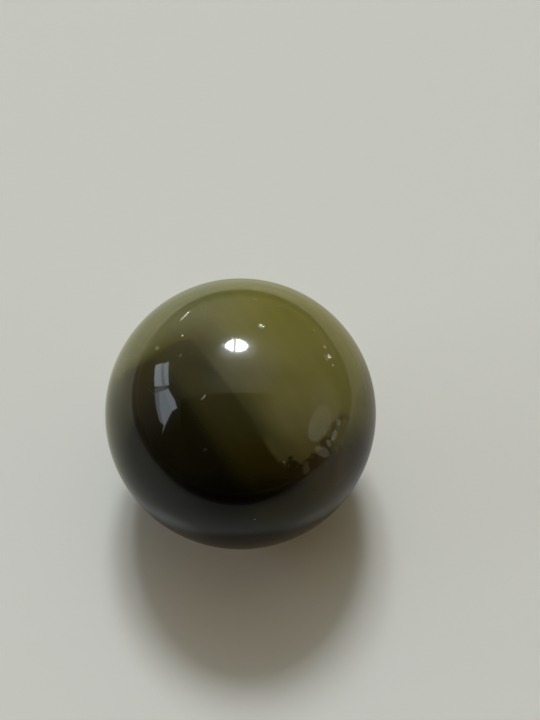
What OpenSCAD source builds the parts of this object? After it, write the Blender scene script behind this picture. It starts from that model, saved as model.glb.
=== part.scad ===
// Glass marble: one solid ball of two-tone glass. Its skin has a row of nicks,
// two round pits and two scratches that play has left in it.
// The origin is the ball's centre. A place on the skin is given by its azimuth,
// from +X towards +Y, and its elevation above the equator, both in degrees.
// A turn lifts the east end of a row or a scratch above the line of the equator.

/* [Ball] */
// Diameter of the ball
ball_d = 16; // [10:0.5:50]

/* [Row of nicks] */
// Number of nicks in the row
row_count = 3; // [1:1:5]
// Distance along the skin from one nick to the next
row_pitch = 0.56; // [0.45:0.01:1.2]
// Width of each nick at the skin
row_nick_w = 0.32; // [0.2:0.01:0.42]
// Depth of each nick below the skin
row_nick_depth = 0.06; // [0.03:0.01:0.12]
// Azimuth of the middle of the row
row_az = 10; // [0:1:359]
// Elevation of the middle of the row
row_el = 50; // [-85:1:85]
// Turn of the row
row_turn = 18; // [-90:1:90]

/* [Crown pit] */
// Width of the pit near the crown at the skin
crown_pit_w = 0.36; // [0.2:0.01:0.6]
// Depth of the pit near the crown
crown_pit_depth = 0.05; // [0.03:0.01:0.12]
// Azimuth of the pit near the crown
crown_pit_az = 58; // [0:1:359]
// Elevation of the pit near the crown
crown_pit_el = 73; // [-85:1:85]

/* [Shoulder pit] */
// Width of the pit on the shoulder at the skin
shoulder_pit_w = 0.24; // [0.15:0.01:0.6]
// Depth of the pit on the shoulder
shoulder_pit_depth = 0.04; // [0.02:0.01:0.1]
// Azimuth of the pit on the shoulder
shoulder_pit_az = 152; // [0:1:359]
// Elevation of the pit on the shoulder
shoulder_pit_el = 64; // [-85:1:85]

/* [Long scratch] */
// Length of the long scratch at the skin
long_scratch_len = 0.95; // [0.5:0.05:1.5]
// Width of the long scratch at its middle
long_scratch_w = 0.14; // [0.08:0.01:0.3]
// Depth of the long scratch at its middle
long_scratch_depth = 0.07; // [0.05:0.01:0.15]
// Azimuth of the middle of the long scratch
long_scratch_az = 136; // [0:1:359]
// Elevation of the middle of the long scratch
long_scratch_el = 58; // [-85:1:85]
// Turn of the long scratch
long_scratch_turn = 5; // [-90:1:90]

/* [Short scratch] */
// Length of the short scratch at the skin
short_scratch_len = 0.4; // [0.2:0.05:0.8]
// Width of the short scratch at its middle
short_scratch_w = 0.1; // [0.06:0.01:0.2]
// Depth of the short scratch at its middle
short_scratch_depth = 0.05; // [0.03:0.01:0.1]
// Azimuth of the middle of the short scratch
short_scratch_az = 230; // [0:1:359]
// Elevation of the middle of the short scratch
short_scratch_el = 69; // [-85:1:85]
// Turn of the short scratch
short_scratch_turn = 70; // [-90:1:90]

/* [Hidden] */
$fn = 128;
ball_r = ball_d / 2;

// How far the ball's own skin falls away across a mark of this width.
function skin_sag(width) = ball_r - sqrt(pow(ball_r, 2) - pow(width / 2, 2));

// Radius of a round cutter that goes this deep and leaves a mark this wide.
function cutter_r(width, depth) =
    let (rise = depth - skin_sag(width))
    (pow(width / 2, 2) + pow(rise, 2)) / (2 * rise);

// Degrees round the ball that a distance along its skin covers.
function skin_angle(distance) = distance / ball_r * 180 / PI;

// Sets a shape on the skin: +Z points out of the ball, and +Y runs east, turned
// by turn. along moves it that many millimetres over the skin towards +Y.
module on_skin(az, el, turn = 0, along = 0) {
    rotate([0, 90 - el, az])
        rotate([0, 0, turn])
            rotate([-skin_angle(along), 0, 0])
                translate([0, 0, ball_r])
                    children();
}

// Cutter for a round pit: a small ball that dips into the skin.
module pit_cutter(width, depth) {
    scoop_r = cutter_r(width, depth);
    translate([0, 0, scoop_r - depth])
        sphere(r = scoop_r);
}

// Cutter for a scratch along Y: a V-edged wheel, so that the scratch is deepest
// and widest at its middle and runs out to a point at each end.
module scratch_cutter(len, width, depth) {
    wheel_r = cutter_r(len, depth);
    edge_slope = (width / 2) / (depth - skin_sag(len));
    half_t = wheel_r * edge_slope;
    translate([0, 0, wheel_r - depth])
        for (side = [-1, 1])
            rotate([0, 90 * side, 0])
                cylinder(h = half_t, r1 = wheel_r, r2 = 0);
}

module nick_row_cutter() {
    for (i = [0 : row_count - 1])
        on_skin(row_az, row_el, row_turn, (i - (row_count - 1) / 2) * row_pitch)
            pit_cutter(row_nick_w, row_nick_depth);
}

// The marble is poured and rounded as one piece, so its two glasses share one
// solid and differ only in colour.
module marble() {
    color("darkolivegreen")
        difference() {
            sphere(r = ball_r);
            nick_row_cutter();
            on_skin(crown_pit_az, crown_pit_el)
                pit_cutter(crown_pit_w, crown_pit_depth);
            on_skin(shoulder_pit_az, shoulder_pit_el)
                pit_cutter(shoulder_pit_w, shoulder_pit_depth);
            on_skin(long_scratch_az, long_scratch_el, long_scratch_turn)
                scratch_cutter(long_scratch_len, long_scratch_w, long_scratch_depth);
            on_skin(short_scratch_az, short_scratch_el, short_scratch_turn)
                scratch_cutter(short_scratch_len, short_scratch_w, short_scratch_depth);
        }
}

marble();
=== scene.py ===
import math
import random

import bmesh
import bpy
from mathutils import Matrix, Vector, kdtree, noise


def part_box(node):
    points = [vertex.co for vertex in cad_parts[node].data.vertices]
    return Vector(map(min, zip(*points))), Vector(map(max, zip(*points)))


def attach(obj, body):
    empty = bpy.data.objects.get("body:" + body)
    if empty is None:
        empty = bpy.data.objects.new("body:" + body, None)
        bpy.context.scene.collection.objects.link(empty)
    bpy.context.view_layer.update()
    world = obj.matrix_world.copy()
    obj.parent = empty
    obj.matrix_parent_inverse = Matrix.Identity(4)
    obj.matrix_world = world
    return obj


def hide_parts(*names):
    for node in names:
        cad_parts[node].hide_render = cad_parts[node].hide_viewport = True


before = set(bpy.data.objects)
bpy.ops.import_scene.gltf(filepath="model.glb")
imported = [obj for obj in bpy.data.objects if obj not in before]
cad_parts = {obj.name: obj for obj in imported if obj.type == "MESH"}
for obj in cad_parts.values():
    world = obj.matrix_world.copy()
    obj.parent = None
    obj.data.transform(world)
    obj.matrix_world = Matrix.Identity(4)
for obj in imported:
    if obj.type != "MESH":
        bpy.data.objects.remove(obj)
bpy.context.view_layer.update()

ballLow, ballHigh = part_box("marble")
ballRadius = (ballHigh - ballLow).z / 2
millimetre = 0.001
print("frame loaded: ball of", round(2 * ballRadius / millimetre, 2), "mm")


# Wraps one output socket, so that shader sums read as plain arithmetic.
class Wire:
    def __init__(self, tree, socket=None):
        self.tree = tree
        self.socket = socket

    # any node: its type, then its settings, then what its sockets hold or are linked to
    def node(self, kind, settings=None, sockets=None, output=0):
        made = self.tree.nodes.new(kind)
        for name, value in (settings or {}).items():
            setattr(made, name, value)
        for key, value in (sockets or {}).items():
            if isinstance(value, Wire):
                self.tree.links.new(value.socket, made.inputs[key])
            else:
                made.inputs[key].default_value = value
        return Wire(self.tree, made.outputs[output] if made.outputs else None)

    def maths(self, operation, *terms):
        return self.node("ShaderNodeMath", {"operation": operation}, dict(enumerate(terms)))

    def vector(self, operation, sockets, output=0):
        return self.node("ShaderNodeVectorMath", {"operation": operation}, sockets, output)

    def __add__(self, other):
        return self.maths("ADD", self, other)

    def __radd__(self, other):
        return self.maths("ADD", other, self)

    def __sub__(self, other):
        return self.maths("SUBTRACT", self, other)

    def __rsub__(self, other):
        return self.maths("SUBTRACT", other, self)

    def __mul__(self, other):
        return self.maths("MULTIPLY", self, other)

    def __rmul__(self, other):
        return self.maths("MULTIPLY", other, self)

    def __truediv__(self, other):
        return self.maths("DIVIDE", self, other)

    # 0 at low, 1 at high and eased between them; low may be the larger of the two
    def ramp(self, low, high):
        return self.node("ShaderNodeMapRange", {"interpolation_type": "SMOOTHSTEP"},
                         {"Value": self, "From Min": low, "From Max": high})

    # one value up to the start of a span, another past its end, and eased between them
    def grade(self, span, before, after):
        return self.ramp(*span) * (after - before) + before

    # a hump of height 1 at centre, all but gone at twice the width
    def hump(self, centre, width):
        away = (self - centre) / width
        return self.maths("EXPONENT", away * away * -1)

    # how far a vector reaches along a direction
    def along(self, direction):
        return self.vector("DOT_PRODUCT", {0: self, 1: tuple(direction)}, "Value")

    # how far it lies past a line, given as the way that the line faces and its own distance
    def past(self, line):
        facing, distance = line
        return self.along(facing) - distance

    # soft noise round 0.5: how fine it is, and how much finer detail it has
    def cloud(self, place, fine, detail, output="Fac"):
        return self.node("ShaderNodeTexNoise", None,
                         {"Vector": place, "Scale": fine, "Detail": detail}, output)

    # the first colour where amount is 0, the second where it is 1
    def mix(self, first, second, amount):
        return self.node("ShaderNodeMix", {"data_type": "RGBA"}, {0: amount, 6: first, 7: second}, 2)

    # this colour times another, by an amount from 0 to 1
    def tint(self, colour, amount=1.0):
        return self.node("ShaderNodeMix", {"data_type": "RGBA", "blend_type": "MULTIPLY"},
                         {0: amount, 6: self, 7: colour}, 2)


def tone(red, green, blue):
    return (red, green, blue, 1.0)


# A direction from the ball: azimuth from +Y towards +X, elevation above the floor.
def bearing(azimuth, elevation):
    a = math.radians(azimuth)
    e = math.radians(elevation)
    return Vector((math.sin(a) * math.cos(e), math.cos(a) * math.cos(e), math.sin(e)))


def addObject(name, data):
    made = bpy.data.objects.new(name, data)
    bpy.context.scene.collection.objects.link(made)
    return made


def meshObject(name, bm):
    mesh = bpy.data.meshes.new(name)
    bm.to_mesh(mesh)
    bm.free()
    return addObject(name, mesh)


def newMaterial(name):
    made = bpy.data.materials.new(name)
    made.use_nodes = True
    made.node_tree.nodes.clear()
    return made, Wire(made.node_tree)


lens = {
    "tilt": 25.1,                       # degrees from straight down
    "focal": 69.0,                      # mm
    "sensor": 36.0,                     # mm wide
    "place": (0.217, -3.981, 9.433),    # from the ball's centre, in ball radii
}
cameraData = bpy.data.cameras.new("camera")
cameraData.lens = lens["focal"]
cameraData.sensor_width = lens["sensor"]
cameraData.clip_start = millimetre
camera = addObject("camera", cameraData)
camera.location = Vector(lens["place"]) * ballRadius
camera.rotation_euler = (math.radians(lens["tilt"]), 0, 0)
bpy.context.scene.camera = camera
bpy.context.scene.view_settings.view_transform = "Standard"
print("camera set")

# The floor: a pale sheet on a grey bench. The glass mirrors the sheet's edges, and what it mirrors
# is painted: painted shade on the near side, as if the lens and its card shaded it, and patches of
# painted shade and painted light.
floor = {
    # the sheet's corners from under the ball, in ball radii
    "sheetOutline": (
        (-12, 11), (-10.5, -3), (-8.5, -6), (1, -6.5), (4, -9.5),
        (9.5, -9), (7, 1.5), (8.5, 8), (0, 7),
    ),
    "sheetThick": 0.25,                 # mm
    "sheetColour": tone(0.625, 0.625, 0.585),
    # painted reflection: the sheet as the glass mirrors it, warmer and a little darker than it is seen
    "sheetMirrored": tone(0.60, 0.60, 0.48),    # its colour as the glass mirrors it
    # painted shade and painted light in what the glass mirrors of the sheet
    "sheetMirrorShading": (
        (3.0, 0.25, 3.0, 1.15, tone(0.54, 0.54, 0.72)),
        (-4.5, 0.4, 3.0, 0.5, tone(0.92, 0.92, 0.92)),
        (-3.4, 1.6, 1.5, 0.8, tone(1.16, 1.16, 1.12)),
        (1.25, 1.0, 0.55, 0.7, tone(0.84, 0.83, 0.80)),
        (0.2, 1.9, 1.3, 0.6, tone(0.74, 0.74, 0.74)),
        (-1.8, 5.2, 4.0, 2.4, tone(1.26, 1.26, 1.16)),
        (-5.5, 8.0, 3.2, 2.0, tone(1.40, 1.40, 1.45)),
        (2.6, 3.2, 2.2, 2.0, tone(1.03, 0.96, 0.84)),
        (2.2, -3.6, 1.9, 2.4, tone(1.0, 0.95, 0.66)),
        (-0.7, -4.4, 1.5, 1.6, tone(0.74, 0.74, 0.68)),
        (-0.9, -1.25, 0.4, 0.4, tone(1.45, 1.5, 1.55)),
        (0.9, -1.2, 0.35, 0.4, tone(1.35, 1.35, 1.35)),
    ),
    "benchReach": 60.0,                 # half the bench's width, in ball radii
    "benchColour": tone(0.27, 0.26, 0.22),
    # painted shade and painted light in what the glass mirrors of the bench
    "benchMirrorShading": (
        (4.0, 15.0, 10.5, 10.5, tone(0.30, 0.30, 0.30)),
        (-26.0, -3.0, 16.0, 16.0, tone(0.40, 0.40, 0.40)),
        (11.0, -17.0, 16.0, 9.5, tone(0.15, 0.14, 0.12)),
        (22.0, -52.0, 20.0, 26.0, tone(0.10, 0.10, 0.08)),
    ),
    "rough": 0.9,                       # the matte finish of both, and of the card behind the lens
    "shine": 0.1,
    # painted shade in what the glass mirrors: the near side darkens, then darkens further, but not far to
    # the right
    "shadeFrom": 0.6,                   # where the near side starts to darken, in ball radii
    "shadeFull": -1.2,
    "shadeLeft": tone(0.50, 0.51, 0.60),    # share of each colour that is left there
    "deepShadeFrom": -3.2,                   # and where it darkens further, but not far to the right
    "deepShadeFull": -9.5,
    "deepShadeLeft": 0.15,
    "deepShadeStop": (4.0, 10.0),
    # painted light: the sheet itself glows warm in the ball's shadow, standing in for the light that the
    # glass lets through
    "glowColour": tone(1.0, 0.60, 0.25),
    "glowAt": (0.05, -0.9),             # its middle, in ball radii
    "glowReach": 0.8,
    "glowStrength": 0.038,
}


# how far off a place is, squared, counted in an oval's own half widths and half depths
def squareAway(x, y, right, far, wide=1, deep=1):
    across = (x - right) / wide
    beyond = (y - far) / deep
    return across * across + beyond * beyond


# Each patch paints shade (a share below 1) or light (above 1) into what the glass mirrors of the
# floor: x, y, how wide and how deep it is in ball radii, and the share of each colour that is left.
def stageMatte(name, colour, mirrored, mirrorShading=(), glow=False):
    made, start = newMaterial(name)
    place = start.node("ShaderNodeTexCoord", output="Object")
    x = place.along((1, 0, 0)) / ballRadius
    y = place.along((0, 1, 0)) / ballRadius
    # painted shade: the mirrored colour darkens on the near side, then in patches
    dark = y.ramp(floor["deepShadeFrom"], floor["deepShadeFull"]) * x.ramp(*reversed(floor["deepShadeStop"]))
    paintedMirror = start.mix(mirrored, tone(0, 0, 0), dark * (1 - floor["deepShadeLeft"]))
    paintedMirror = paintedMirror.tint(floor["shadeLeft"], y.ramp(floor["shadeFrom"], floor["shadeFull"]))
    for right, far, wide, deep, left in mirrorShading:
        paintedMirror = paintedMirror.tint(left, squareAway(x, y, right, far, wide, deep).hump(0.0, 1.0))
    inGlass = start.node("ShaderNodeLightPath", output="Is Glossy Ray")
    # painted light: a warm glow of the sheet itself in the ball's shadow
    through = squareAway(x, y, *floor["glowAt"]).hump(0.0, floor["glowReach"])
    through = start.mix(tone(0, 0, 0), floor["glowColour"], through)
    shader = start.node("ShaderNodeBsdfPrincipled", None,
                        {"Base Color": start.mix(colour, paintedMirror, inGlass), "Roughness": floor["rough"],
                         "Specular IOR Level": floor["shine"], "Emission Color": through,
                         "Emission Strength": floor["glowStrength"] if glow else 0.0})
    start.node("ShaderNodeOutputMaterial", None, {"Surface": shader})
    return made


def layFloor():
    thick = floor["sheetThick"] * millimetre
    bm = bmesh.new()
    corners = [Vector((x, y, -1)) * ballRadius for x, y in floor["sheetOutline"]]
    top = bm.faces.new([bm.verts.new(corner) for corner in corners])
    pulled = bmesh.ops.extrude_face_region(bm, geom=[top])["geom"]
    under = [v for v in pulled if isinstance(v, bmesh.types.BMVert)]
    bmesh.ops.translate(bm, vec=(0, 0, -thick), verts=under)
    bmesh.ops.triangulate(bm, faces=bm.faces)
    bmesh.ops.recalc_face_normals(bm, faces=bm.faces)
    sheet = meshObject("sheet", bm)
    sheet.data.materials.append(stageMatte("paleSheet", floor["sheetColour"], floor["sheetMirrored"],
                                           floor["sheetMirrorShading"], True))

    bm = bmesh.new()
    bmesh.ops.create_grid(bm, x_segments=1, y_segments=1, size=floor["benchReach"] * ballRadius)
    bmesh.ops.translate(bm, vec=(0, 0, -ballRadius - thick), verts=bm.verts)
    bench = meshObject("bench", bm)
    bench.data.materials.append(stageMatte("greyBench", floor["benchColour"], floor["benchColour"],
                                           floor["benchMirrorShading"]))


layFloor()
print("floor laid")

# The lights: a small lamp high on the far side with a dim bar across it, a cool window low on
# the left, and a dim card and four pale flakes low on the right.
lamp = {
    "bearing": (-3, 56),                # azimuth and elevation, degrees
    "distance": 3.0,                    # metres
    # an oval, as degrees from that bearing: its middle, half its width and height, its lean
    "oval": (-0.5, -0.8, 7.6, 5.4, 10),
    "corners": 48,                      # round its edge, every other one a tooth
    "teeth": 0.15,                      # how far the teeth stand out, as a share of its size
    "bar": ((-3.5, 5), (-1.5, 5), (-0.5, -6.5), (-2.5, -6.5)),
    "barShare": 0.21,                   # how bright the bar is beside the lamp
    "fringeSize": 1.1,                  # the dim fringe of light round it
    "fringeTeeth": 0.5,
    "fringeShare": 0.16,
    "gap": 0.06,                        # metres from the lamp to the bar before it and the fringe behind
    "frayPick": 3,
    "glow": 55.0,
    "colour": (0.91, 0.945, 1.0),
}
# Each pane: its corners as metres along the wall, far side positive, and metres up from the
# ball's centre, then how bright it glows.
softWindow = {
    "wall": -0.40,                      # metres to the right of the ball's centre
    "colour": (0.80, 0.90, 1.0),
    "panes": (
        (((0.20, 0.11), (0.21, 0.16), (0.07, 0.19), (0.08, 0.13)), 3.4),        # the far sash
        (((0.21, 0.16), (0.21, 0.18), (0.07, 0.22), (0.07, 0.19)), 2.1),        # the rail across it
        (((0.21, 0.18), (0.22, 0.22), (0.07, 0.25), (0.07, 0.22)), 3.3),
        (((0.07, 0.13), (0.07, 0.25), (0.045, 0.21), (0.045, 0.13)), 1.1),      # the post
        (((0.045, 0.13), (0.045, 0.165), (-0.13, 0.15), (-0.10, 0.13)), 1.7),   # the near sash
        (((0.045, 0.165), (0.045, 0.21), (-0.09, 0.25), (-0.16, 0.11), (-0.13, 0.15)), 2.7),
        (((0.045, 0.21), (0.05, 0.24), (-0.03, 0.29), (-0.09, 0.30), (-0.09, 0.25)), 3.1),
    ),
}
# Each oval: its middle along the wall and up from the ball's centre, half its width and height,
# all in metres, its turn in degrees, then how bright it glows.
sideCards = {
    "wall": 0.40,
    "colour": (1.0, 0.98, 0.80),
    "ovals": (((-0.11, 0.12, 0.11, 0.075, -15), 0.66),),
}
# a close row of pale flakes, small enough to hang between the ball and the card
flakes = {
    "wall": 0.06,
    "colour": (1.0, 0.96, 0.80),
    "ovals": (
        ((-0.007, 0.003, 0.002, 0.003, 0), 0.9),
        ((-0.016, 0.002, 0.004, 0.003, 0), 1.0),
        ((-0.023, 0.003, 0.002, 0.004, 0), 0.75),
        ((-0.032, 0.004, 0.010, 0.004, -70), 0.6),
    ),
}


# glowing flat panes that light the scene but are hidden from the camera: each is its corners
# and its glow
def hangPanes(name, colour, panes):
    bm = bmesh.new()
    for index, (corners, glow) in enumerate(panes):
        bm.faces.new([bm.verts.new(corner) for corner in corners]).material_index = index
    made = meshObject(name, bm)
    for index, (corners, glow) in enumerate(panes):
        material, start = newMaterial(name + str(index))
        light = start.node("ShaderNodeEmission", None, {"Color": (*colour, 1.0), "Strength": glow})
        start.node("ShaderNodeOutputMaterial", None, {"Surface": light})
        made.data.materials.append(material)
    made.visible_camera = False


# the corners of an oval: its middle, half its width and height, its turn in degrees, and the most
# that every other corner stands out as a tooth
def oval(across, up, wide, high, turn=0, teeth=0.0, pick=None, corners=16):
    t = math.radians(turn)
    found = []
    for step in range(corners):
        a = 2 * math.pi * step / corners
        size = 1 + teeth * pick.random() if teeth and step % 2 else 1
        right = wide * math.cos(a) * size
        above = high * math.sin(a) * size
        found.append((across + right * math.cos(t) - above * math.sin(t),
                      up + right * math.sin(t) + above * math.cos(t)))
    return found


def hangLamp():
    pick = random.Random(lamp["frayPick"])
    towards = bearing(*lamp["bearing"])
    sideways = towards.cross(Vector((0, 0, 1))).normalized()
    upwards = sideways.cross(towards)
    degree = math.radians(1)

    def corners(outline, distance):
        return [(towards + sideways * right * degree + upwards * up * degree) * distance
                for right, up in outline]

    across, up, wide, high, lean = lamp["oval"]
    shape = oval(across, up, wide, high, lean, lamp["teeth"], pick, lamp["corners"])
    wide *= lamp["fringeSize"]
    high *= lamp["fringeSize"]
    fringe = oval(across, up, wide, high, lean, lamp["fringeTeeth"], pick, lamp["corners"])
    hangPanes("lamp", lamp["colour"], (
        (corners(shape, lamp["distance"]), lamp["glow"]),
        (corners(lamp["bar"], lamp["distance"] - lamp["gap"]), lamp["glow"] * lamp["barShare"]),
        (corners(fringe, lamp["distance"] + lamp["gap"]), lamp["glow"] * lamp["fringeShare"]),
    ))


# panes and ovals that all stand on one upright wall beside the ball
def hangWall(name, spec):
    shapes = list(spec.get("panes", ()))
    shapes += [(oval(*shape), glow) for shape, glow in spec.get("ovals", ())]
    panes = []
    for outline, glow in shapes:
        panes.append(([(spec["wall"], along, up) for along, up in outline], glow))
    hangPanes(name, spec["colour"], panes)


hangLamp()
hangWall("window", softWindow)
hangWall("side_cards", sideCards)
hangWall("flakes", flakes)

# The room's own light, plain with a soft glow here and there. The first three lie round the lamp.
room = {
    "colour": (1.0, 0.92, 0.68),
    "farSide": 0.17,                    # plain light of the room on its far side
    "nearSide": 0.01,                   # and on its near side
    "turnOver": (-0.5, 0.1),            # where one gives way to the other along Y
    # each glow: azimuth, elevation, how wide, its colour
    "glows": (
        (-3, 60, 0.035, (0.50, 0.53, 0.50)),
        (-11, 57, 0.012, (1.9, 1.95, 2.0)),
        (5, 57, 0.012, (1.9, 1.95, 2.0)),
        (8, 70, 0.12, (0.70, 0.64, 0.48)),
        (-18, 20, 0.12, (0.40, 0.37, 0.34)),
        (88, 12, 0.05, (0.25, 0.23, 0.17)),
    ),
}


def lightRoom():
    world = bpy.data.worlds.new("room")
    bpy.context.scene.world = world
    world.use_nodes = True
    world.node_tree.nodes.clear()
    start = Wire(world.node_tree)
    way = start.node("ShaderNodeTexCoord", output="Generated")
    plain = way.along((0, 1, 0)).grade(room["turnOver"], room["nearSide"], room["farSide"])
    light = start.vector("SCALE", {0: room["colour"], "Scale": plain})
    for azimuth, elevation, wide, colour in room["glows"]:
        near = way.along(bearing(azimuth, elevation)).hump(1.0, wide)
        light = start.vector("MULTIPLY_ADD", {0: colour, 1: near, 2: light})
    glow = start.node("ShaderNodeBackground", None, {"Color": light})
    start.node("ShaderNodeOutputWorld", None, {"Surface": glow})


lightRoom()

# A black card just behind the lens. Only the glass mirrors it, and there it hides the room's light.
lensCard = {
    "distance": 10.5,                   # from the ball's centre, in ball radii
    "left": -12.0,                      # its edges from the lens axis, in ball radii
    "right": 4.6,
    "low": -12.0,
    "high": 3.0,
    "colour": tone(0.01, 0.01, 0.01),
}


def holdLensCard():
    facing = camera.location.normalized()
    sideways = Vector((1, 0, 0)) - facing * facing.x
    sideways.normalize()
    upwards = facing.cross(sideways)
    turn = Matrix((sideways, upwards, facing)).transposed().to_4x4()
    bm = bmesh.new()
    bmesh.ops.create_grid(bm, x_segments=1, y_segments=1, size=0.5)
    width = lensCard["right"] - lensCard["left"]
    height = lensCard["high"] - lensCard["low"]
    bmesh.ops.scale(bm, vec=(width, height, 1), verts=bm.verts)
    middle = Vector((lensCard["right"] + lensCard["left"], lensCard["high"] + lensCard["low"], 0)) / 2
    bmesh.ops.translate(bm, vec=middle + Vector((0, 0, lensCard["distance"])), verts=bm.verts)
    bmesh.ops.scale(bm, vec=(ballRadius,) * 3, verts=bm.verts)
    bmesh.ops.transform(bm, matrix=turn, verts=bm.verts)
    card = meshObject("lens_card", bm)
    card.data.materials.append(stageMatte("blackCard", lensCard["colour"], lensCard["colour"]))
    card.visible_camera = False
    card.visible_diffuse = False


holdLensCard()
print("lights hung")

# The marble's skin: a ball that strays a little from round, with the marks that play left in it.
marble = {
    "roundness": 7,                     # icosphere subdivisions
    "sway": 0.0025,                     # mm, how far the skin strays from a true ball
    "swaySize": 3.2,                    # mm, from one swell to the next
    "ripple": 0.0005,                   # the same again, finer
    "rippleSize": 0.7,
    # the mesh is split again round each mark, once for each of these distances past its edge, in mm
    "splitMargins": (0.256, 0.192, 0.128),
    # each mark: kind, azimuth from +X towards +Y, elevation and turn in degrees, length, width and
    # depth in mm, and how white the bruised glass in it is
    "marks": (
        ("chip", 16.0, 51.5, 18, 0.24, 0.16, 0.030, 0.35),      # the row of nicks
        ("chip", 9.5, 50.0, 40, 0.34, 0.26, 0.060, 1.00),
        # painted shade: this wide shallow dent's faint grey stands for the shaded side of the nick beside
        # it
        ("chip", 8.0, 52.0, 30, 0.42, 0.38, 0.015, 0.12),
        ("chip", 4.0, 49.0, 18, 0.18, 0.14, 0.030, 0.50),
        ("chip", 58.0, 73.0, 0, 0.40, 0.32, 0.045, 0.28),       # the pit near the crown
        ("chip", 152.0, 64.0, 30, 0.20, 0.14, 0.040, 0.50),     # the pit on the shoulder
        ("scratch", 134.0, 57.5, 5, 0.96, 0.17, 0.050, 0.45),
        ("scratch", 230.0, 69.0, 84, 0.40, 0.13, 0.035, 0.30),
        ("chip", 249.5, 51.0, 40, 0.30, 0.20, 0.012, 0.03),     # faint bruises
        ("chip", 165.0, 54.0, 60, 0.42, 0.28, 0.015, 0.13),
        ("chip", 173.5, 66.5, 10, 0.24, 0.17, 0.012, 0.05),
        ("chip", 77.5, 58.5, -4, 0.34, 0.08, 0.015, 0.16),
        ("chip", 29.0, 53.0, 0, 0.30, 0.08, 0.015, 0.12),
        ("chip", 295.5, 44.0, 0, 0.11, 0.10, 0.025, 0.30),
        ("chip", 276.5, 19.5, 0, 0.20, 0.15, 0.025, 0.35),
    ),
    # How uneven a mark is: how fine, how far as a share of its width or depth, and for the last
    # one how far off in the noise it is taken, so that it doesn't repeat the edge.
    "grooveEdge": (9, 0.5),
    "grooveBed": (16, 0.5),
    "chipEdge": (7, 0.38),
    "chipBed": (14, 0.45, (5, 3, 1)),
    "chipBowl": 0.6,                    # 1 is a parabola, less has a flatter bed and steeper sides
    "markReach": 1.6,                   # as far as a ragged mark may reach, in half lengths
    "whiteGain": 1.8,                   # how soon a mark whitens as it deepens
    "whiteMiddle": 0.7,
    # painted highlight: one end of a mark is whiter, where its lit side would shine, and the other end
    # less white
    "glintEnd": 0.5,                    # more at one end of the mark, and as much less at the other
    # stray marks by a seeded draw, on the side that faces down and away
    "strayMarks": 14,
    "strayPick": 11,
    "strayHeights": (-0.95, 0.6),       # lowest and highest, in ball radii
    "strayTurn": 80,                    # degrees, either way
    "strayShown": 0.02,                 # cosine from the lens past which one is left out
    "straySizes": (0.14, 0.36),         # mm
    "scratchShare": 0.35,               # how many of the draws are scratches
    "strayScratch": {"stretch": 2.6, "width": 0.09, "depth": 0.05, "white": 0.6},
    "strayChip": {"narrow": 0.7, "depth": 0.04, "white": 0.25, "whiter": 2.0},
}


# the ways out of the ball, along a mark and across it
def skinFrame(azimuth, elevation, turn):
    a = math.radians(azimuth)
    e = math.radians(elevation)
    t = math.radians(turn)
    out = Vector((math.cos(e) * math.cos(a), math.cos(e) * math.sin(a), math.sin(e)))
    east = Vector((-math.sin(a), math.cos(a), 0))
    north = out.cross(east)
    along = east * math.cos(t) + north * math.sin(t)
    return out, along, out.cross(along)


# the named marks, then the stray ones, which keep off the side that the lens sees
def allMarks():
    pick = random.Random(marble["strayPick"])
    scratch = marble["strayScratch"]
    chip = marble["strayChip"]
    found = list(marble["marks"])
    towardsLens = camera.location.normalized()
    while len(found) < len(marble["marks"]) + marble["strayMarks"]:
        azimuth = pick.uniform(0, 360)
        elevation = math.degrees(math.asin(pick.uniform(*marble["strayHeights"])))
        turn = pick.uniform(-marble["strayTurn"], marble["strayTurn"])
        scratched = pick.random() < marble["scratchShare"]
        size = pick.uniform(*marble["straySizes"])
        if skinFrame(azimuth, elevation, 0)[0].dot(towardsLens) > marble["strayShown"]:
            continue
        if scratched:
            found.append(("scratch", azimuth, elevation, turn, size * scratch["stretch"],
                          scratch["width"], scratch["depth"], scratch["white"]))
        else:
            found.append(("chip", azimuth, elevation, turn, size, size * chip["narrow"],
                          chip["depth"], chip["white"] + size * chip["whiter"]))
    return found


# finds the mesh's corners near a place
def cornerTree(bm):
    tree = kdtree.KDTree(len(bm.verts))
    for vert in bm.verts:
        tree.insert(vert.co, vert.index)
    tree.balance()
    bm.verts.ensure_lookup_table()
    return tree


# splits the mesh finer round each mark and puts the new corners back on the ball
def splitRound(bm, marks):
    for past in marble["splitMargins"]:
        tree = cornerTree(bm)
        margin = past * millimetre
        near = set()
        for kind, azimuth, elevation, turn, length, width, depth, white in marks:
            out, along, side = skinFrame(azimuth, elevation, turn)
            reach = length / 2 * millimetre + margin
            for place, index, distance in tree.find_range(out * ballRadius, reach):
                if abs(place.dot(side)) < width / 2 * millimetre + margin:
                    near.add(bm.verts[index])
        edges = [e for e in bm.edges if e.verts[0] in near and e.verts[1] in near]
        bmesh.ops.subdivide_edges(bm, edges=edges, cuts=1, use_grid_fill=True)
        bmesh.ops.triangulate(bm, faces=[f for f in bm.faces if len(f.verts) > 3])
        for vert in bm.verts:
            vert.co = vert.co.normalized() * ballRadius
        bm.verts.index_update()


def uneven(place, fine, far, apart=(0, 0, 0)):
    return noise.noise(place * fine + Vector(apart)) * far


# how deep a mark is at a place given in half lengths along and half widths across it, as a share
# of the mark's own depth; unevenness takes it a little past 1 here and there
def markDepth(kind, lengthwise, crosswise, place):
    if kind == "scratch":
        crosswise += uneven(place, *marble["grooveEdge"])
        groove = max(0.0, 1 - abs(crosswise)) * max(0.0, 1 - lengthwise * lengthwise)
        return groove * (1 + uneven(place, *marble["grooveBed"]))
    away = math.hypot(lengthwise, crosswise) + uneven(place, *marble["chipEdge"])
    scoop = max(0.0, 1 - away * away) ** marble["chipBowl"]
    return scoop * (1 + uneven(place, *marble["chipBed"]))
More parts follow.
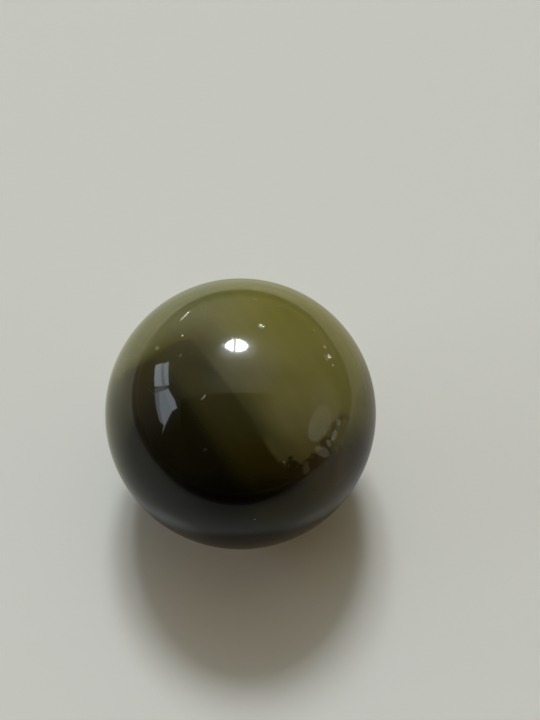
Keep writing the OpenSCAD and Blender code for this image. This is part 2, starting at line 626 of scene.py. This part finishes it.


# presses the marks in and notes on each corner how white its glass is: bruised glass, and a painted
# highlight at one end of each mark
def pressMarks(bm, marks):
    bruiseAndPaintedLight = bm.verts.layers.float.new("bruiseAndPaintedLight")
    tree = cornerTree(bm)
    for kind, azimuth, elevation, turn, length, width, depth, white in marks:
        out, along, side = skinFrame(azimuth, elevation, turn)
        halfLength = length / 2 * millimetre
        halfWidth = width / 2 * millimetre
        for place, index, distance in tree.find_range(out * ballRadius, halfLength * marble["markReach"]):
            lengthwise = place.dot(along) / halfLength
            share = markDepth(kind, lengthwise, place.dot(side) / halfWidth, place / millimetre)
            if share > 0:
                vert = bm.verts[index]
                vert.co -= out * share * depth * millimetre
                # painted highlight: one end of a mark is painted whiter than the other, where its lit
                # side would shine
                end = min(1.0, max(-1.0, lengthwise))
                whiter = marble["whiteMiddle"] + marble["glintEnd"] * end
                bruised = min(1.0, share * marble["whiteGain"] * whiter) * white
                vert[bruiseAndPaintedLight] = max(vert[bruiseAndPaintedLight], bruised)


def buildSkin():
    bm = bmesh.new()
    bmesh.ops.create_icosphere(bm, subdivisions=marble["roundness"], radius=ballRadius)
    marks = allMarks()
    splitRound(bm, marks)
    for vert in bm.verts:
        place = vert.co / millimetre
        stray = noise.noise(place / marble["swaySize"]) * marble["sway"]
        stray += noise.noise(place / marble["rippleSize"]) * marble["ripple"]
        vert.co += vert.co.normalized() * (stray - marble["sway"]) * millimetre
    pressMarks(bm, marks)
    for face in bm.faces:
        face.smooth = True
    return meshObject("marble_skin", bm)


# The glass: a light olive body with a dark patch poured into its near left side. The dark patch
# stops at a straight streak line, at a second line low on the right, where the light glass makes
# a lobe, and at a wavy line across the left. Lengths are in ball radii. A span is where a change
# starts and where it is full.
glass = {
    "yellow": tone(0.142, 0.127, 0.030),        # light olive on the right
    "fresh": tone(0.128, 0.119, 0.034),         # light olive in the middle
    "honey": tone(0.124, 0.112, 0.013),         # at its right and far ends
    "green": tone(0.106, 0.102, 0.034),         # light olive on the left
    "milky": tone(0.138, 0.122, 0.042),         # light olive in the lobe low on the right
    "thin": tone(0.047, 0.045, 0.015),          # where it thins out over the dark patch
    "moss": tone(0.036, 0.033, 0.011),          # the dark patch beside the streak line
    "streak": tone(0.018, 0.017, 0.003),        # a narrow dark streak along that line
    "amber": tone(0.030, 0.024, 0.003),         # the patch's lower end
    "deep": tone(0.011, 0.009, 0.0030),         # its heart
    "rust": tone(0.026, 0.021, 0.0050),         # its left end
    "brown": tone(0.050, 0.034, 0.008),         # under the light lobe on the right
    "dusk": tone(0.068, 0.052, 0.024),          # past the seam, towards the near side
    "under": tone(0.35, 0.33, 0.30),            # the share left where the dark patch rounds under
    "warm": tone(1.04, 0.92, 0.80),             # tint of both glasses low on the near side
    "edging": tone(1.04, 0.98, 0.66),           # of the light glass along the left line
    "farEnd": tone(0.92, 0.95, 0.84),           # and of its far end
    "bruised": tone(0.66, 0.65, 0.55),          # the whitish glass in a chip or scratch

    "twist": 1.3,                               # how far the underside is turned, radians
    "twistSpan": (0.1, -0.9),                   # along Z
    "waver": 0.02,                              # how far the lines waver
    # noises: how fine, and how much finer detail
    "waverCloud": (2.2, 2.0),
    "raggedCloud": (9.0, 3.0),
    "crumbCloud": (26.0, 2.0),
    "veinCloud": (1.0, 3.0),

    # each line: the way that it faces, then how far it lies from the ball's middle
    "streakLine": ((0.819, 0.574, 0.0), -0.165),
    "lobeLine": ((-0.48, 0.877, 0.0), -0.750),
    "leftLine": ((0.0, 1.0, 0.0), 0.04),
    "duskLine": ((0.878, -0.18, 0.0), 0.71),    # past which the light glass turns dusky
    "lobeRagged": 0.10,                         # how ragged the lobe's line is
    "lobeCrumbs": 0.10,                         # and how crumbly
    "lobeRound": 0.18,                          # how round the corner of the first two lines is
    "leftRound": 0.04,                          # and the corner with the left line
    "leftBulge": (-0.36, 0.25),                 # where along X the left line bulges, and how wide
    "leftBulgeBy": 0.13,
    "lobeSpan": (-0.48, -0.58),                 # along Y
    "crispEdge": (-0.018, 0.012),               # the edge along the streak line, across it
    "crispReach": 0.02,                         # how far from that line it stays crisp, squared
    "crispSpan": (-0.5, -0.3),                  # along Y
    "softEdge": (-0.05, 0.04),                  # the edge elsewhere

    # the light glass fades in out from the streak line, and the haste makes it fade in sooner
    "fadeSpan": (-0.06, 0.47),
    "lobeHaste": (-0.12, -0.42),                # along Y
    "lobeHasteBy": 1.3,
    "farHaste": (0.05, 0.2),                    # along Y
    "farHasteBy": 0.7,
    "delay": (-0.12, 0.1),                      # where along Y it is later, and how wide
    "delayBy": 0.2,
    "lobeEdgeFade": ((-0.02, 0.2), 0.65, 1.0),  # a span out from a line, the value before and after
    "lobeFade": ((0.0, 0.35), 0.36, 0.86),
    "leftFade": (-0.08, 0.27),
    "leftHaste": ((-0.4, -0.7), 1.0, 2.0),      # along X

    # where each light tone comes in
    "freshSpan": (-0.30, 0.15),                 # along X
    "yellowWay": (1, -0.4, 0),
    "yellowSpan": (0.0, 0.45),                  # along that way
    "honeyRight": (0.45, 0.85),                 # along X
    "honeyFar": (0.05, 0.45),                   # along Y
    "honeyFarAcross": (-0.35, 0.2),             # along X
    "honeyFarShare": 0.7,
    "milkySpan": (-0.12, -0.42),                # along Y
    "milkyAcross": ((1.0, 0.45), 0.4, 1.0),     # along X, the value before and after
    "farEndSpan": (0.3, 0.55),                  # along Y
    "farEndAcross": (0.15, -0.1),               # along X

    # where each dark tone comes in
    "mossWay": (-0.3, 0.9, 0.3),
    "mossSpan": (-0.5, 0.2),                    # along that way
    "streakWidth": (-0.035, 0.055),             # its middle, out from the streak line, and its width
    "streakStarts": (-0.30, -0.05),             # along Y
    "streakEnds": (0.03, -0.10),
    "heartSpan": (-0.50, -0.36),                # along the streak line's facing
    "rustWay": (-0.55, 0.83, 0.0),
    "rustSpan": (0.05, 0.35),                   # along that way
    "brownSpan": (0.36, 0.6),                   # along X
    "underSpan": (-0.68, -0.86),                # along Y

    # blots along the lobe's near edge: x, y, how wide and deep each is, its colour
    "blots": (
        (0.37, -0.65, 0.05, 0.03, tone(0.026, 0.023, 0.004)),
        (0.46, -0.66, 0.025, 0.035, tone(0.084, 0.076, 0.040)),
    ),
    "blotRagged": 3,
    "blotCrumbs": 5,
    "blotEdge": (1.7, 0.3),                     # from outside to inside, in its own widths squared
    # a thin dark seam across the lobe's right end: its facing, its distance, its width
    "seam": ((0.878, -0.477, 0.0), 0.760, 0.030),
    "seamRagged": 0.16,
    "seamCrumbs": 0.08,
    "seamStarts": (-0.22, -0.32),               # along Y
    "seamEnds": (-0.60, -0.55),
    "seamShare": 0.8,
    "duskEdge": (-0.03, 0.03),                  # out from the dusk line
    "duskStarts": (-0.20, -0.52),               # along Y
    "duskEnds": (-0.76, -0.62),
    "warmSpan": (-0.45, -0.70),                 # along Y
    "warmAcross": (-0.1, 0.2),                  # along X
    "edgingWidth": (0.01, 0.06),                # its middle, out from the left line, and its width
    "edgingAcross": (-0.15, -0.35),             # along X

    "veinWay": (-0.574, 0.819, 0.0),            # fine veins drawn out along the streak line
    "veinDepth": 0.13,                          # how much they lighten or darken the glass
    "veinFine": 11,                             # how fine across that line
    "veinLong": 1.6,                            # and along it

    "rough": 0.05,
    "bruisedRough": 0.40,
    "refraction": 1.5,
    "coat": 0.04,
    "coatRough": 0.2,
    "scuffShine": 0.05,                         # coat added in a scuff
    "scuffWhite": 0.03,                         # and how much it whitens the glass
}

# Hairline scuffs: short arcs by a seeded draw, each the cut of a flat plane through the ball's
# skin. Every other one lies high on the left and the rest lie anywhere.
scuff = {
    "count": 26,
    "pick": 4,
    "wide": 0.0035,                             # ball radii
    "azimuths": (-100, 40),                     # degrees, where the ones high on the left lie
    "elevations": (25, 65),
    "lean": 0.5,                                # how far a plane may lean from the ball's middle
    "reach": (0.04, 0.20),                      # radians, from a scuff's middle to its end
    "fullReach": 0.4,                           # the share of that before it starts to fade
    "strength": (0.3, 1.0),
}


# the light glass: its tones from left to right, thinning out to the dark patch by fade
def lightGlass(start, flow, x, y, fade):
    olive = start.mix(glass["green"], glass["fresh"], x.ramp(*glass["freshSpan"]))
    yellow = flow.along(glass["yellowWay"]).ramp(*glass["yellowSpan"])
    olive = start.mix(olive, glass["yellow"], yellow)
    farHoney = y.ramp(*glass["honeyFar"]) * x.ramp(*glass["honeyFarAcross"]) * glass["honeyFarShare"]
    honey = start.maths("MAXIMUM", x.ramp(*glass["honeyRight"]), farHoney)
    olive = start.mix(olive, glass["honey"], honey)
    milky = y.ramp(*glass["milkySpan"]) * x.grade(*glass["milkyAcross"])
    olive = start.mix(olive, glass["milky"], milky)
    olive = olive.tint(glass["farEnd"], y.ramp(*glass["farEndSpan"]) * x.ramp(*glass["farEndAcross"]))
    return start.mix(glass["thin"], olive, fade)


# the dark patch: moss beside the streak line, then its heart, brown at its right end
def darkGlass(start, flow, x, y, across, beyond):
    moss = flow.along(glass["mossWay"]).ramp(*glass["mossSpan"])
    moss = start.mix(glass["amber"], glass["moss"], moss)
    streak = beyond.hump(*glass["streakWidth"])
    streak = streak * y.ramp(*glass["streakStarts"]) * y.ramp(*glass["streakEnds"])
    moss = start.mix(moss, glass["streak"], streak)
    rust = flow.along(glass["rustWay"]).ramp(*glass["rustSpan"])
    heart = start.mix(glass["deep"], glass["rust"], rust)
    dark = start.mix(heart, moss, across.ramp(*glass["heartSpan"]))
    dark = start.mix(dark, glass["brown"], x.ramp(*glass["brownSpan"]))
    return dark.tint(glass["under"], y.ramp(*glass["underSpan"]))


# blots, seam, dusk and the tints that lie over both glasses
def laidOver(start, colour, flow, x, y, behind, ragged, crumbs):
    for right, far, wide, deep, tinge in glass["blots"]:
        blot = squareAway(x, y, right, far, wide, deep)
        blot = blot + ragged * glass["blotRagged"] + crumbs * glass["blotCrumbs"]
        colour = start.mix(colour, tinge, blot.ramp(*glass["blotEdge"]))
    facing, distance, wide = glass["seam"]
    seam = flow.along(facing) + ragged * glass["seamRagged"] + crumbs * glass["seamCrumbs"]
    seam = seam.hump(distance, wide) * y.ramp(*glass["seamStarts"]) * y.ramp(*glass["seamEnds"])
    colour = start.mix(colour, glass["brown"], seam * glass["seamShare"])
    dusk = flow.past(glass["duskLine"]).ramp(*glass["duskEdge"])
    dusk = dusk * y.ramp(*glass["duskStarts"]) * y.ramp(*glass["duskEnds"])
    colour = start.mix(colour, glass["dusk"], dusk)
    colour = colour.tint(glass["warm"], y.ramp(*glass["warmSpan"]) * x.ramp(*glass["warmAcross"]))
    edging = behind.hump(*glass["edgingWidth"]) * x.ramp(*glass["edgingAcross"])
    return colour.tint(glass["edging"], edging)


# a share of about 1 that lightens or darkens the glass in fine drawn-out veins
def veins(start, flow, across):
    long = glass["veinLong"]
    along = flow.along(glass["veinWay"]) * long
    upward = flow.along((0, 0, 1)) * long
    drawn = start.node("ShaderNodeCombineXYZ", None, {0: across * glass["veinFine"], 1: along, 2: upward})
    shade = (start.cloud(drawn, *glass["veinCloud"]) - 0.5) * (2 * glass["veinDepth"]) + 1
    return start.node("ShaderNodeCombineXYZ", None, {0: shade, 1: shade, 2: shade})


def drawnAnywhere(pick):
    return Vector([pick.gauss(0, 1) for axis in range(3)])


def hairlines(place):
    pick = random.Random(scuff["pick"])
    found = 0.0
    for index in range(scuff["count"]):
        if index % 2:
            middle = bearing(pick.uniform(*scuff["azimuths"]), pick.uniform(*scuff["elevations"]))
        else:
            middle = drawnAnywhere(pick).normalized()
        tilt = middle.cross(drawnAnywhere(pick)).normalized()
        tilt = (tilt + middle * pick.uniform(-scuff["lean"], scuff["lean"])).normalized()
        line = place.along(tilt).hump(tilt.dot(middle), scuff["wide"])
        reach = pick.uniform(*scuff["reach"])
        ends = place.along(middle).ramp(math.cos(reach), math.cos(reach * scuff["fullReach"]))
        found = line * ends * pick.uniform(*scuff["strength"]) + found
    return found


def twoToneGlass():
    made, start = newMaterial("twoToneGlass")
    place = start.node("ShaderNodeTexCoord", output="Object")
    place = start.vector("SCALE", {0: place, "Scale": 1 / ballRadius})
    turn = place.along((0, 0, 1)).ramp(*glass["twistSpan"]) * glass["twist"]
    place = start.node("ShaderNodeVectorRotate", {"rotation_type": "Z_AXIS"},
                       {"Vector": place, "Angle": turn})
    waver = start.cloud(place, *glass["waverCloud"], "Color")
    waver = start.vector("SUBTRACT", {0: waver, 1: (0.5, 0.5, 0.5)})
    waver = start.vector("SCALE", {0: waver, "Scale": glass["waver"] * 2})
    flow = start.vector("ADD", {0: place, 1: waver})
    ragged = start.cloud(place, *glass["raggedCloud"]) - 0.5
    crumbs = start.cloud(place, *glass["crumbCloud"]) - 0.5

    # how far a place lies out from each of the three lines, and in the light glass
    x = flow.along((1, 0, 0))
    y = flow.along((0, 1, 0))
    across = flow.along(glass["streakLine"][0])
    beyond = flow.past(glass["streakLine"])
    above = flow.past(glass["lobeLine"]) + ragged * glass["lobeRagged"] + crumbs * glass["lobeCrumbs"]
    behind = flow.past(glass["leftLine"]) - x.hump(*glass["leftBulge"]) * glass["leftBulgeBy"]
    light = start.maths("SMOOTH_MIN", beyond, above, glass["lobeRound"])
    light = start.maths("SMOOTH_MAX", light, behind, glass["leftRound"])

    # the light glass fades in slowly beyond the streak line, and sooner in the lobe
    haste = y.ramp(*glass["lobeHaste"]) * glass["lobeHasteBy"]
    haste = haste + y.ramp(*glass["farHaste"]) * glass["farHasteBy"]
    haste = haste - y.hump(*glass["delay"]) * glass["delayBy"] + 1
    fade = (beyond * haste).ramp(*glass["fadeSpan"]) * above.grade(*glass["lobeEdgeFade"])
    lobe = y.ramp(*glass["lobeSpan"])
    fade = fade + (beyond.grade(*glass["lobeFade"]) - fade) * lobe
    left = (behind * x.grade(*glass["leftHaste"])).ramp(*glass["leftFade"])
    fade = start.maths("MAXIMUM", fade, left)

    # the edge is crisp along the streak line and in the lobe, and soft elsewhere
    crisp = light.ramp(*glass["crispEdge"])
    soft = light.ramp(*glass["softEdge"])
    beside = (beyond * beyond).hump(0.0, glass["crispReach"]) * y.ramp(*glass["crispSpan"])
    beside = start.maths("MAXIMUM", beside, lobe)
    dark = darkGlass(start, flow, x, y, across, beyond)
    olive = lightGlass(start, flow, x, y, fade)
    colour = start.mix(dark, olive, soft + (crisp - soft) * beside)
    colour = laidOver(start, colour, flow, x, y, behind, ragged, crumbs)
    colour = start.vector("MULTIPLY", {0: colour, 1: veins(start, flow, across)})

    scuffs = hairlines(place)
    bruiseAndPaintedLight = start.node("ShaderNodeAttribute", {"attribute_name": "bruiseAndPaintedLight"}, None, "Fac")
    colour = start.mix(colour, glass["bruised"], scuffs * glass["scuffWhite"])
    # the marks' whitening: bruised glass, with a painted highlight at one end of each mark
    colour = start.mix(colour, glass["bruised"], bruiseAndPaintedLight)

    shader = start.node("ShaderNodeBsdfPrincipled", None, {
        "Base Color": colour,
        "Roughness": bruiseAndPaintedLight * (glass["bruisedRough"] - glass["rough"]) + glass["rough"],
        "IOR": glass["refraction"],
        "Coat Weight": scuffs * glass["scuffShine"] + glass["coat"],
        "Coat Roughness": glass["coatRough"],
        "Coat IOR": glass["refraction"],
    })
    start.node("ShaderNodeOutputMaterial", None, {"Surface": shader})
    return made


skin = buildSkin()
skin.data.materials.append(twoToneGlass())
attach(skin, "root")
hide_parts("marble")
print("marble made:", len(skin.data.polygons), "faces")
